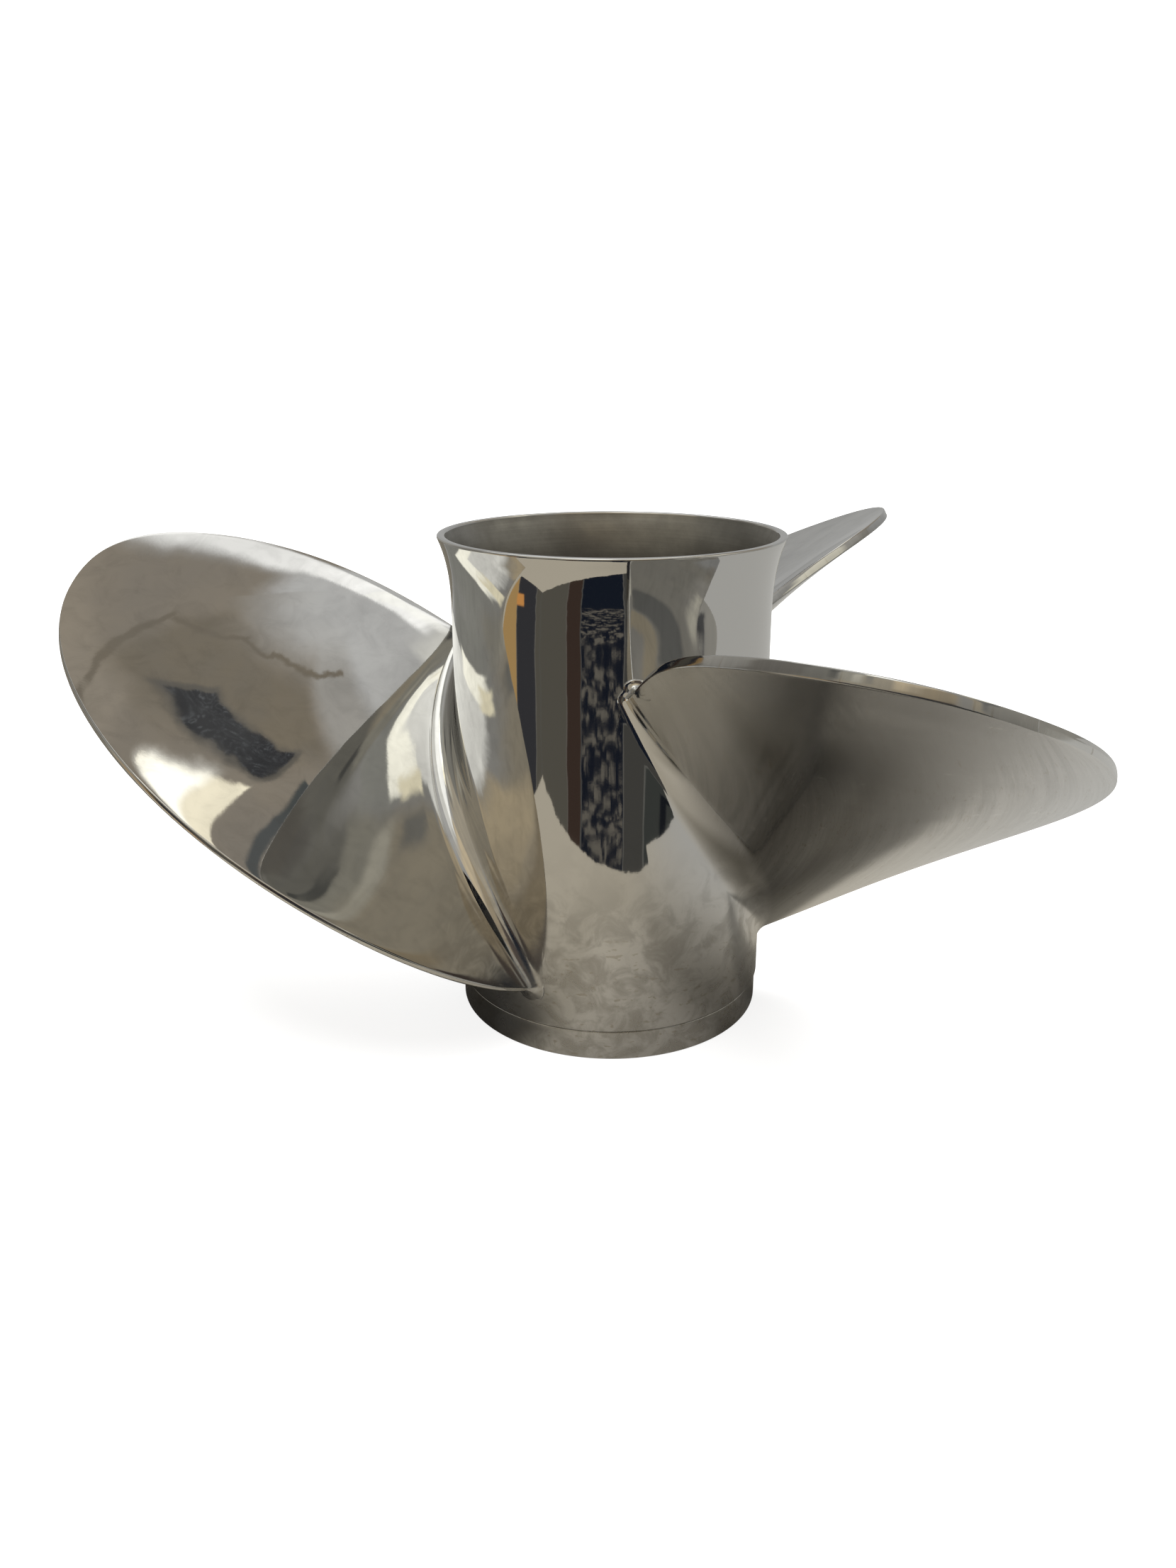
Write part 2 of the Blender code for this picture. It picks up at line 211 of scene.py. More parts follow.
class BladeForm:
    """The skin of the first blade, with its root centred on +X and heights from the base.

    span runs from 0 on the barrel to 1 at the tip, and chord from 0 at the trailing edge
    to 1 at the leading edge. section runs from 0 in the middle of the trailing edge to 1
    at the leading edge's nose, positive over the aft face and negative over the other.
    """

    def __init__(self, barrel, blade):
        self.barrel = barrel
        for name in blade.__annotations__:
            value = getattr(blade, name)
            setattr(self, name, tuple(value) if hasattr(value, "__len__") else value)
        self.straight = (barrel.band, barrel.length - barrel.flare)
        self.radii = (barrel.forward_radius, barrel.aft_radius)
        self.reach = self.tip_radius - barrel.forward_radius
        self.kept = {}

    def wall(self, height):
        """Outer radius of the barrel's wall, without its flare."""
        share = (height - self.straight[0]) / (self.straight[1] - self.straight[0])
        return self.radii[0] + (self.radii[1] - self.radii[0]) * share

    def middle(self, span, chord):
        """A point of the blade's middle surface."""
        height = self.root_height
        for _ in range(4):
            root = self.wall(height)
            radius = root + span * (self.tip_radius - root)
            share = (radius - self.root_radius) / (self.tip_radius - self.root_radius)
            width = self.chord * (1 + series(self.taper, share))
            width *= max(0.0, 1 - share ** self.outline_power) ** self.outline_rounding
            angle = series(self.skew, share) + (chord - 0.5) * width
            pitch = self.pitch[0] + series(self.pitch[1:], share)
            height = self.root_height + series(self.rake, share) - pitch * angle
        return Vector((radius * math.cos(angle), radius * math.sin(angle), height))

    def thickness(self, span, chord):
        root, outer = self.trailing_edge
        trailing = root + (outer - root) * span + (self.tip_thickness - outer) * span ** 6
        leading = self.leading_edge + (self.tip_thickness - self.leading_edge) * span ** 3
        edge = trailing + (leading - trailing) * chord
        middle = self.root_thickness + (self.tip_thickness - self.root_thickness) * span
        return edge + (middle - edge) * max(0.0, 4 * chord * (1 - chord)) ** 0.8

    def place(self, section, span):
        """(chord, shift along the chord, share of the thickness, turn of the outline)."""
        length = (self.middle(span, 1.0) - self.middle(span, 0.0)).length
        step = round(abs(section) * ROOT_STEPS)
        corner = min(self.corner, 0.2 * length)
        nose = min(self.leading_edge / 2, 0.3 * length)
        first, last = corner / length, 1 - nose / length
        half = self.thickness(span, first) / 2
        if step <= FACE_STEPS:
            rise = (1 - corner / half) * step / FACE_STEPS
            return first, -corner, rise, 0.0
        step -= FACE_STEPS
        if step <= CORNER_STEPS:
            turn = math.pi / 2 * step / CORNER_STEPS
            return first, -corner * math.cos(turn), 1 - corner / half * (1 - math.sin(turn)), turn
        step -= CORNER_STEPS
        steps = ROOT_STEPS - FACE_STEPS - CORNER_STEPS - NOSE_STEPS
        if step <= steps:
            share = 0.5 - 0.5 * math.cos(math.pi * (0.06 + 0.94 * step / steps))
            return first + (last - first) * share, 0.0, 1.0, math.pi / 2
        turn = math.pi / 2 * (step - steps) / NOSE_STEPS
        return last, nose * math.sin(turn), math.cos(turn), math.pi / 2 + turn

    def bare(self, section, span):
        """A point of the skin without the root fillet, and the fillet's way from there."""
        chord, shift, rise, turn = self.place(section, span)
        step = 0.001
        near = min(span, 1 - 2 * step)
        low, high = max(0.0, chord - step), min(1.0, chord + step)
        along = (self.middle(near, high) - self.middle(near, low)).normalized()
        outward = self.middle(near + step, chord) - self.middle(near - step, chord)
        normal = along.cross(outward).normalized()
        if normal.z < 0:
            normal.negate()
        side = math.copysign(1, section)
        bulge = 4 * chord * (1 - chord) * (1 - max(0.0, span) ** 6)
        share = 0.5 + (self.face_share - 0.5) * bulge
        share = share if side > 0 else 1 - share
        point = self.middle(span, chord) + along * shift
        point += normal * (side * share * rise * self.thickness(span, chord))
        radial = Vector((point.x, point.y, 0)).normalized()
        sideways = (normal - radial * normal.dot(radial)).normalized()
        forward = (along - radial * along.dot(radial)).normalized()
        way = sideways * (side * math.sin(turn)) - forward * math.cos(turn)
        return point, way, chord

    def fillet(self, section, chord):
        size = self.pressure_fillet if section > 0 else self.suction_fillet
        if section == 0:
            size = (self.pressure_fillet + self.suction_fillet) / 2
        return size * (self.edge_fillet + (1 - self.edge_fillet) * math.sin(math.pi * chord))

    def skin(self, section, station):
        """A point of the skin: stations 0 to 1 climb the root fillet, 1 to 2 run to the tip."""
        key = (round(section * ROOT_STEPS), section < 0, round(station, 6))
        if key in self.kept:
            return self.kept[key]
        size = self.fillet(section, self.place(section, 0.0)[0])
        if station < 1:
            turn = math.pi / 2 * station
            height, reach = size * (1 - math.cos(turn)), size * (1 - math.sin(turn))
            span = height / self.reach
            for _ in range(4):
                point, way, chord = self.bare(section, span)
                off = self.wall(point.z) + height - math.hypot(point.x, point.y)
                span += off / self.reach
        else:
            start = size / self.reach
            span, reach = start + (1 - start) * (station - 1), 0.0
            settle = max(0.0, 1 - (station - 1) * 5)
            for _ in range(3 if settle else 0):
                point, way, chord = self.bare(section, span)
                wanted = self.wall(point.z) + size + (1 - start) * (station - 1) * self.reach
                span += (wanted - math.hypot(point.x, point.y)) / self.reach * settle
            point, way, chord = self.bare(section, span)
        radius = math.hypot(point.x, point.y)
        angle = math.atan2(point.y, point.x)
        across = Vector((-math.sin(angle), math.cos(angle), 0))
        angle += way.dot(across) * reach / radius
        height = point.z + way.z * reach
        if station == 0:
            radius = self.wall(height)
        self.kept[key] = (radius, angle, height, chord, span)
        return self.kept[key]

    def stations(self):
        climb = [i / FILLET_STEPS for i in range(1, FILLET_STEPS)]
        inner = [1 + TIP_START * i / INNER_STEPS for i in range(INNER_STEPS)]
        start = math.asin(TIP_START ** (self.outline_power / 2))
        end = math.pi / 2 - TIP_CLOSE
        turns = [start + (end - start) * i / TIP_STEPS for i in range(TIP_STEPS + 1)]
        return climb + inner + [1 + math.sin(turn) ** (2 / self.outline_power) for turn in turns]


def flare_radius(barrel, height, start, end, top):
    """Radius of a flaring wall at a height, from its straight part's radius to its end's."""
    foot = barrel.length - barrel.flare
    share = min(1.0, max(0.0, (height - foot) / (top - foot)))
    return start + (end - start) * share ** barrel.flare_power


def rim_lean(barrel):
    """How far the flare leans out where it meets the rim's rounded edge."""
    rise = barrel.flare_power * (barrel.rim_radius - barrel.aft_radius)
    return math.atan(rise / (barrel.flare - barrel.edge))


def sector(form):
    """A third of the barrel's outer wall, flat, with the blade's root cut open in it."""
    shape = bmesh.new()
    columns, rows = ROOT_STEPS + 2 * GAP_STEPS, ROWS_FORWARD + ROWS_AFT
    bmesh.ops.create_grid(shape, x_segments=columns, y_segments=rows, size=0.5)
    section = shape.verts.layers.float.new("section")
    loop = shape.verts.layers.int.new("loop")
    for vert in shape.verts:
        vert.co.x = round((vert.co.x + 0.5) * columns)
        vert.co.y = round((vert.co.y + 0.5) * rows) - ROWS_FORWARD
    last = GAP_STEPS + ROOT_STEPS

    def on_root(vert):
        return vert.co.y == 0 and GAP_STEPS <= vert.co.x <= last

    slit = [edge for edge in shape.edges if all(on_root(vert) for vert in edge.verts)]
    bmesh.ops.split_edges(shape, edges=slit)
    lean = rim_lean(form.barrel)
    top = form.barrel.length - form.barrel.edge * (1 + math.sin(lean))
    bottom = form.barrel.band + form.barrel.edge
    scale = form.radii[0]
    half = math.pi / 3 * scale
    free = []
    aft_side = [sum(face.calc_center_median().y for face in vert.link_faces) > 0
                for vert in shape.verts]
    for vert, aft in zip(shape.verts, aft_side):
        column, row = vert.co.x, vert.co.y
        if on_root(vert):
            vert[loop] = 1
            vert[section] = (column - GAP_STEPS) / ROOT_STEPS * (1 if aft else -1)
        inside = min(last, max(GAP_STEPS, column))
        share = (inside - GAP_STEPS) / ROOT_STEPS
        _, angle, height, _, _ = form.skin(share if aft else -share, 0)
        middle = Vector((angle * scale, height, 0))
        if inside != column:
            seam = Vector((-half if column < inside else half, form.root_height, 0))
            middle = middle.lerp(seam, abs(column - inside) / GAP_STEPS)
        end = Vector(((2 * column / columns - 1) * half, top if row > 0 else bottom, 0))
        if 0 < column < columns and -ROWS_FORWARD < row < ROWS_AFT and not vert[loop]:
            free.append(vert)
        vert.co = middle.lerp(end, row / ROWS_AFT if row > 0 else -row / ROWS_FORWARD)
    for _ in range(RELAX_ROUNDS):
        bmesh.ops.smooth_vert(shape, verts=free, factor=0.7, use_axis_x=True, use_axis_y=True)
    rim = form.barrel.rim_radius - form.barrel.edge * (1 - math.cos(lean))
    for vert in shape.verts:
        angle, height = vert.co.x / scale, vert.co.y
        radius = form.wall(height)
        if height > form.straight[1]:
            radius = flare_radius(form.barrel, height, form.radii[1], rim, top)
        vert.co = (radius * math.cos(angle), radius * math.sin(angle), height)
    return shape


def grow_blade(shape, form):
    """Draws the blade out of the opening, one ring at a time, and closes its tip."""
    section = shape.verts.layers.float["section"]
    loop = shape.verts.layers.int["loop"]
    span_layer = shape.verts.layers.float.new("span")
    chord_layer = shape.verts.layers.float.new("chord")
    face_layer = shape.verts.layers.float.new("aft_face")
    edges = [edge for edge in shape.edges
             if edge.is_boundary and all(vert[loop] for vert in edge.verts)]
    for station in form.stations():
        grown = bmesh.ops.extrude_edge_only(shape, edges=edges)["geom"]
        edges = [item for item in grown if isinstance(item, bmesh.types.BMEdge)]
        for vert in (item for item in grown if isinstance(item, bmesh.types.BMVert)):
            radius, angle, height, chord, span = form.skin(vert[section], station)
            vert.co = (radius * math.cos(angle), radius * math.sin(angle), height)
            vert[span_layer] = max(LEAST_SPAN, span)
            vert[chord_layer] = chord
            aft = min(1.0, max(-1.0, vert[section] * ROOT_STEPS / FINISH_STEPS))
            vert[face_layer] = 0.5 + 0.5 * aft
            vert[loop] = 0
    bmesh.ops.contextual_create(shape, geom=edges)


def draw_on(shape, edges, place):
    """Draws an edge loop on to the places of its vertices, and gives the new loop."""
    grown = bmesh.ops.extrude_edge_only(shape, edges=edges)["geom"]
    for vert in (item for item in grown if isinstance(item, bmesh.types.BMVert)):
        vert.co = place(vert)
    return [item for item in grown if isinstance(item, bmesh.types.BMEdge)]


def ring(shape, edges, points):
    """Draws a round edge on through (radius, height) points."""
    for radius, height in points:
        edges = draw_on(shape, edges, lambda vert: turned_to(vert, radius, height))
    return edges


def turned_to(vert, radius, height):
    scale = radius / math.hypot(vert.co.x, vert.co.y)
    return vert.co.x * scale, vert.co.y * scale, height


def turned(shape, profile, steps):
    """A closed ring turned from (radius, height) points."""
    verts = [shape.verts.new((radius, 0, height)) for radius, height in profile]
    edges = [shape.edges.new((verts[i - 1], verts[i])) for i in range(len(verts))]
    bmesh.ops.spin(shape, geom=verts + edges, cent=(0, 0, 0), axis=(0, 0, 1), steps=steps,
                   angle=2 * math.pi, use_merge=True)


def rounded(centre, radius, start, end, steps=4):
    """Points of an arc in (radius, height), with its angles in degrees."""
    turns = [math.radians(start + (end - start) * i / steps) for i in range(steps + 1)]
    return [(centre[0] + radius * math.cos(t), centre[1] + radius * math.sin(t)) for t in turns]


def inner_wall(barrel):
    """The rest of the barrel's profile: its lip, its bore and the band, down to the wall's foot."""
    edge, top = barrel.edge, barrel.length
    inside = barrel.rim_radius - barrel.rim_wall
    lean = math.degrees(rim_lean(barrel))
    lip = rounded((barrel.rim_radius - edge, top - edge), edge, -lean, 90, 6)[1:]
    lip.append((barrel.rim_radius - barrel.rim_wall / 2, top))
    lip += rounded((inside + edge, top - edge), edge, 90, 180)
    heights = [top - edge - (barrel.flare - edge) * (i / 14) for i in range(1, 15)]
    bore = [(flare_radius(barrel, z, barrel.bore_radius, inside, top - edge), z) for z in heights]
    foot = barrel.length - barrel.flare
    bore += [(barrel.bore_radius, foot + (edge - foot) * i / 12) for i in range(1, 12)]
    bore += rounded((barrel.bore_radius + edge, edge), edge, 180, 270)
    side = barrel.band_radius
    band = rounded((side - edge, edge), edge, -90, 0)
    band += [(side, barrel.band * share) for share in (0.3, 0.6)]
    small, groove = edge / 2, barrel.groove
    band += rounded((side - small, barrel.band - groove - small), small, 0, 90, 3)
    band += [(side - small - groove, barrel.band - groove), (side - small - groove, barrel.band)]
    step = barrel.forward_radius
    band += rounded((step - edge, barrel.band + edge), edge, -90, -15, 4)
    return lip, bore, band


class MESH_OT_propeller_casting(bpy.types.Operator):
    """Barrel and blades as one seamless casting"""
    bl_idname = "mesh.propeller_casting"
    bl_label = "Casting"

    def execute(self, context):
        barrel, blade = context.scene.propeller_barrel, context.scene.propeller_blade
        form = BladeForm(barrel, blade)
        shape = sector(form)
        grow_blade(shape, form)
        whole = list(shape.verts) + list(shape.edges) + list(shape.faces)
        bmesh.ops.spin(shape, geom=whole, cent=(0, 0, 0), axis=(0, 0, 1), steps=2,
                       angle=math.radians(240), use_duplicate=True)
        rim = [vert for edge in shape.edges if edge.is_boundary for vert in edge.verts]
        bmesh.ops.remove_doubles(shape, verts=list(set(rim)), dist=WELD)
        open_edges = [edge for edge in shape.edges if edge.is_boundary]
        top = [edge for edge in open_edges if edge.verts[0].co.z > barrel.length / 2]
        bottom = [edge for edge in open_edges if edge.verts[0].co.z < barrel.length / 2]
        lip, bore, band = inner_wall(barrel)
        edges = ring(shape, top, lip)
        outside = set(shape.faces)
        edges = ring(shape, edges, bore)
        inside = set(shape.faces) - outside
        edges = ring(shape, edges, band)
        foot = (math.hypot(*bottom[0].verts[0].co.xy), bottom[0].verts[0].co.z)
        edges = ring(shape, edges, [foot])
        ends = {vert for edge in edges + bottom for vert in edge.verts}
        bmesh.ops.remove_doubles(shape, verts=list(ends), dist=WELD)
        for face in inside:
            face.material_index = 1
        span_layer = shape.verts.layers.float["span"]
        for vert in shape.verts:
            if vert[span_layer] > 0:
                third = round((math.atan2(vert.co.y, vert.co.x)) / (2 * math.pi / 3)) % 3
                change = blade.tip_change[third] * smooth(vert[span_layer] * 1.4 - 0.4)
                radius = math.hypot(vert.co.x, vert.co.y)
                vert.co.x *= 1 + change / radius
                vert.co.y *= 1 + change / radius
        place = Matrix.Translation((0, 0, BASE)) @ Matrix.Rotation(blade.azimuth, 4, "Z")
        bmesh.ops.transform(shape, matrix=place, verts=shape.verts)
        bmesh.ops.recalc_face_normals(shape, faces=shape.faces)
        piece = finished("propeller_casting", shape)
        piece.data.materials.append(polished_material(context.scene.propeller_finish))
        piece.data.materials.append(bore_material(context.scene.propeller_finish))
        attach(piece, "root")
        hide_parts("barrel", "blade_1", "blade_2", "blade_3")
        return {"FINISHED"}


def finished(name, shape):
    """The piece as an object at the origin, with smooth faces."""
    mesh = bpy.data.meshes.new(name)
    shape.to_mesh(mesh)
    shape.free()
    mesh.shade_smooth()
    piece = bpy.data.objects.new(name, mesh)
    bpy.context.scene.collection.objects.link(piece)
    return piece


class Nodes:
    """Adds nodes to one tree. Values are sockets, numbers or colours."""

    def __init__(self, tree):
        self.tree = tree
        tree.nodes.clear()

    def add(self, kind, inputs=None, output=0, **settings):
        node = self.tree.nodes.new(kind)
        for name, value in settings.items():
            setattr(node, name, value)
        for key, value in (inputs or {}).items():
            if isinstance(value, bpy.types.NodeSocket):
                self.tree.links.new(value, node.inputs[key])
            else:
                node.inputs[key].default_value = value
        return node.outputs[output] if node.outputs else node

    def math(self, operation, first, second=0.0):
        return self.add("ShaderNodeMath", {0: first, 1: second}, operation=operation)

    def plus(self, first, *others):
        for other in others:
            first = self.math("ADD", first, other)
        return first

    def times(self, first, *others):
        for other in others:
            first = self.math("MULTIPLY", first, other)
        return first

    def most(self, first, *others):
        for other in others:
            first = self.math("MAXIMUM", first, other)
        return first

    def between(self, value, low, high, bottom=0.0, top=1.0):
        """value mapped smoothly from low..high to bottom..top."""
        return self.add("ShaderNodeMapRange", {0: value, 1: low, 2: high, 3: bottom, 4: top},
                        interpolation_type="SMOOTHSTEP")

    def noise(self, vector, scale, detail=3.0, roughness=0.5, distortion=0.0):
        return self.add("ShaderNodeTexNoise", {"Vector": vector, "Scale": scale, "Detail": detail,
                                               "Roughness": roughness, "Distortion": distortion})

    def mix(self, share, first, second):
        first, second = [(*c, 1.0) if isinstance(c, tuple) and len(c) == 3 else c
                         for c in (first, second)]
        return self.add("ShaderNodeMix", {0: share, 6: first, 7: second}, 2, data_type="RGBA")

    def stretched(self, vector, scale, turn=(0, 0, 0)):
        return self.add("ShaderNodeMapping", {"Vector": vector, "Scale": scale, "Rotation": turn})

    def attribute(self, name):
        return self.add("ShaderNodeAttribute", output=2, attribute_name=name)

    def position(self):
        return self.add("ShaderNodeTexCoord", output=3)

    def axis(self, vector, number):
        return self.add("ShaderNodeSeparateXYZ", {0: vector}, number)

    def surface(self, colour, roughness, metallic, height=None, **more):
        inputs = {"Base Color": colour, "Roughness": roughness, "Metallic": metallic}
        if height is not None:
            inputs["Normal"] = self.add("ShaderNodeBump", {"Height": height, "Distance": 1.0,
                                                           "Strength": 1.0})
        inputs.update(more)
        inputs = {k: (*v, 1.0) if isinstance(v, tuple) and len(v) == 3 else v
                  for k, v in inputs.items()}
        shader = self.add("ShaderNodeBsdfPrincipled", inputs)
        self.add("ShaderNodeOutputMaterial", {"Surface": shader})


def new_material(name):
    material = bpy.data.materials.new(name)
    material.use_nodes = True
    return material, Nodes(material.node_tree)


def shade(colour, factor):
    return tuple(factor * part for part in colour)


# Heights over the forward end between which the polish gives way to duller steel, and how far that
# line wanders
SATIN_HEIGHTS = (0.045, 0.085)
DULL_HEIGHTS = (0.060, 0.105)
WANDER = 0.03
# Brush marks cross the blades on a slant: along them the span falls by this share of the chord's rise
SLANT = 0.8
LIGHT_STEEL = (0.80, 0.80, 0.78)


def polished_material(finish):
    """Polished barrel and aft faces, brushed satin forward faces, and a duller forward end."""
    material, nodes = new_material("polished_steel")
    position = nodes.position()
    span, chord, aft = (nodes.attribute(name) for name in ("span", "chord", "aft_face"))
    laid = nodes.add("ShaderNodeCombineXYZ", {0: nodes.plus(span, nodes.times(chord, SLANT)), 1: chord})
    on_blade = nodes.between(span, 0.0, 0.06)
    on_barrel = nodes.math("SUBTRACT", 1.0, on_blade)
    fore = nodes.times(on_blade, nodes.math("SUBTRACT", 1.0, aft))
    polished = nodes.times(on_blade, aft)
    line = nodes.plus(nodes.axis(position, 2), nodes.times(nodes.noise(position, 45.0), WANDER))
    low, matte = (nodes.times(nodes.between(line, BASE + start, BASE + end, 1.0, 0.0), on_barrel)
                  for start, end in (SATIN_HEIGHTS, DULL_HEIGHTS))
    # clouds in the polish, grain, brushing, broad strokes, nicks, dark specks and light dabs
    mottle = nodes.noise(position, 95.0, 6.0, 0.62, 0.8)
    fine = nodes.noise(position, 900.0, 4.0, 0.6)
    brushed = nodes.noise(nodes.stretched(laid, (110, 4, 1)), 1.0, 2.0, 0.6)
    strokes = nodes.noise(nodes.stretched(laid, (36, 3.5, 1)), 1.0, 6.0, 0.72, 0.8)
    nicks = nodes.noise(nodes.stretched(laid, (120, 34, 1)), 1.0, 2.0, 0.5, 1.5)
    nicks = nodes.times(fore, nodes.between(nicks, 0.64, 0.68))
    specks = nodes.noise(nodes.stretched(position, (1, 1, 2)), 260.0, 4.0)
    specks = nodes.times(low, nodes.between(specks, 0.62, 0.67))
    dabs = nodes.times(nodes.between(nodes.noise(position, 190.0, 4.0, 0.7), 0.60, 0.72),
                       nodes.between(nodes.noise(position, 22.0), 0.48, 0.6))
    # roughness: a mirror finish, clouded on the aft faces, satin towards the forward faces' tips and
    # dull at the barrel's forward end
    satin = nodes.times(nodes.plus(nodes.between(strokes, 0.35, 0.7, 0.03, 0.09), 0.1),
                        nodes.between(span, 0.15, 0.75, 0.12, 1.0))
    rough = nodes.plus(nodes.between(polished, 0.0, 1.0, 0.032, 0.022),
                       nodes.times(polished, nodes.between(mottle, 0.4, 0.7, 0.0, 0.03)),
                       nodes.times(fore, satin),
                       nodes.times(low, nodes.between(mottle, 0.3, 0.7, 0.13, 0.26)))
    # colour: worn steel, light dabs, forward faces darker towards the trailing edge and lighter
    # towards the leading edge, then the warm film
    worn = nodes.most(nodes.times(fore, nodes.between(strokes, 0.36, 0.64, 0.2, 0.9)),
                      nodes.times(matte, nodes.between(mottle, 0.40, 0.62)),
                      nodes.times(polished, nodes.between(mottle, 0.4, 0.75, 0.0, 0.5)))
    bare = tuple(finish.steel)
    steel = nodes.mix(worn, bare, shade(bare, 0.76))
    steel = nodes.mix(nodes.times(fore, dabs, 0.7), steel, LIGHT_STEEL)
    # the forward faces darker towards the trailing edge and lighter towards the leading edge
    darker_by_trailing_edge = nodes.times(fore, nodes.between(chord, 0.25, 0.7, 0.45, 0.0))
    steel = nodes.mix(darker_by_trailing_edge, steel, shade(bare, 0.5))
    lighter_by_leading_edge = nodes.times(fore, nodes.between(chord, 0.6, 0.95, 0.0, 0.5))
    steel = nodes.mix(lighter_by_leading_edge, steel, LIGHT_STEEL)
    film = nodes.most(nodes.times(low, nodes.between(mottle, 0.42, 0.66, 0.0, 0.25)),
                      nodes.times(nodes.most(specks, nicks), 0.5))
    colour = nodes.mix(film, steel, tuple(finish.stain))
    # height: the hand-polished waves, brushing, cast dimples and grain
    wave = nodes.between(polished, 0.0, 1.0, 0.15 * MM, 0.09 * MM)
    height = nodes.plus(nodes.times(nodes.noise(position, 34.0, 1.5), wave),
                        nodes.times(fore, brushed, 0.007 * MM),
                        nodes.times(low, mottle, 0.05 * MM),
                        nodes.times(fine, 0.0012 * MM))
    nodes.surface(colour, rough, 1.0, height)
    return material


def bore_material(finish):
    """Matt grey bore with fine turned rings."""
    material, nodes = new_material("turned_bore")
    position = nodes.position()
    rings = nodes.noise(nodes.stretched(position, (0.02, 0.02, 1)), 1500.0, 2.0)
    mottle = nodes.noise(position, 60.0, 5.0, 0.6)
    near_rim = nodes.between(nodes.axis(position, 2), BASE + 0.10, BASE + 0.175)
    dark = nodes.between(nodes.plus(mottle, nodes.times(rings, 0.25)), 0.4, 0.85)
    bare = tuple(finish.bore)
    height = nodes.plus(nodes.times(rings, near_rim, 0.02 * MM),
                        nodes.times(nodes.noise(position, 650.0, 3.0), 0.02 * MM))
    nodes.surface(nodes.mix(dark, bare, shade(bare, 0.72)),
                  nodes.between(mottle, 0.2, 0.8, 0.36, 0.5), 1.0, height)
    return material


def cast_material(finish):
    """Sand-blasted cast steel with darker clouds and fine pits."""
    material, nodes = new_material("cast_steel")
    position = nodes.position()
    mottle = nodes.noise(position, 75.0, 5.0, 0.62)
    pits = nodes.noise(position, 1300.0, 4.0, 0.6)
    bare = tuple(finish.bore)
    height = nodes.plus(nodes.times(pits, 0.09 * MM), nodes.times(mottle, 0.4 * MM))
    nodes.surface(nodes.mix(nodes.between(mottle, 0.3, 0.72), bare, shade(bare, 0.6)),
                  nodes.between(pits, 0.3, 0.7, 0.42, 0.58), 1.0, height)
    return material


def rubber_material(finish):
    """Moulded black rubber with a faint bloom."""
    material, nodes = new_material("rubber")
    position = nodes.position()
    bloom = nodes.noise(position, 110.0, 5.0, 0.65)
    grain = nodes.noise(position, 2400.0, 2.0)
    bare = tuple(finish.rubber)
    height = nodes.plus(nodes.times(grain, 0.02 * MM), nodes.times(bloom, 0.2 * MM))
    nodes.surface(nodes.mix(nodes.between(bloom, 0.42, 0.75), bare, shade(bare, 2.2)),
                  nodes.between(bloom, 0.3, 0.7, 0.5, 0.72), 0.0, height)
    return material


def brass_material(finish):
    """Turned and broached brass, with fine tool rings and a dull film."""
    material, nodes = new_material("brass")
    position = nodes.position()
    film = nodes.noise(position, 160.0, 4.0, 0.6)
    rings = nodes.noise(nodes.stretched(position, (0.03, 0.03, 1)), 3200.0, 2.0)
    bare = tuple(finish.brass)
    rough = nodes.plus(nodes.between(film, 0.3, 0.7, 0.2, 0.36), nodes.times(rings, 0.05))
    nodes.surface(nodes.mix(nodes.between(film, 0.4, 0.75, 0.0, 0.8), bare, shade(bare, 0.55)),
                  rough, 1.0, nodes.times(rings, 0.012 * MM))
    return material


def web_outline(hub, bore, inset):
    """A web seen along the shaft, out along +X: its fillets meet the hub's wall and the bore.

    inset narrows it for its rounded edges. Both ends are sunk in the walls.
    """
    half, fillet = hub.rib / 2 - inset, hub.rib_fillet + inset
    side = []
    for wall, way in ((bore, 1), (hub.radius, -1)):
        centre = math.sqrt((wall - way * fillet) ** 2 - (half + fillet) ** 2)
        meet = math.atan2(half + fillet, centre)
        turn = meet if way > 0 else meet - math.pi
        turns = [-math.pi / 2 + (turn + math.pi / 2) * step / WEB_STEPS for step in range(WEB_STEPS + 1)]
        arc = [(centre + fillet * math.cos(t), half + fillet + fillet * math.sin(t)) for t in turns]
        sunk = wall + way * WEB_SINK
        arc.append((sunk * math.cos(meet), sunk * math.sin(meet)))
        side += reversed(arc) if way > 0 else arc
    return side + [(x, -y) for x, y in reversed(side)]


def grow_web(shape, hub, bore, foot, head):
    """One web with rounded ends, out along +X."""
    outlines = {share: web_outline(hub, bore, share * hub.web_edge) for share in (0.0, 0.3, 1.0)}
    verts = [shape.verts.new((x, y, foot)) for x, y in outlines[1.0]]
    index = shape.verts.layers.int["index"]
    for number, vert in enumerate(verts):
        vert[index] = number
    edges = first = [shape.edges.new((verts[i - 1], verts[i])) for i in range(len(verts))]
    rows = [(foot + 0.3 * hub.web_edge, 0.3), (foot + hub.web_edge, 0.0)]
    rows += [(head - hub.web_edge, 0.0), (head - 0.3 * hub.web_edge, 0.3), (head, 1.0)]
    for height, share in rows:
        edges = draw_on(shape, edges, lambda vert: (*outlines[share][vert[index]], height))
    bmesh.ops.contextual_create(shape, geom=first)
    bmesh.ops.contextual_create(shape, geom=edges)


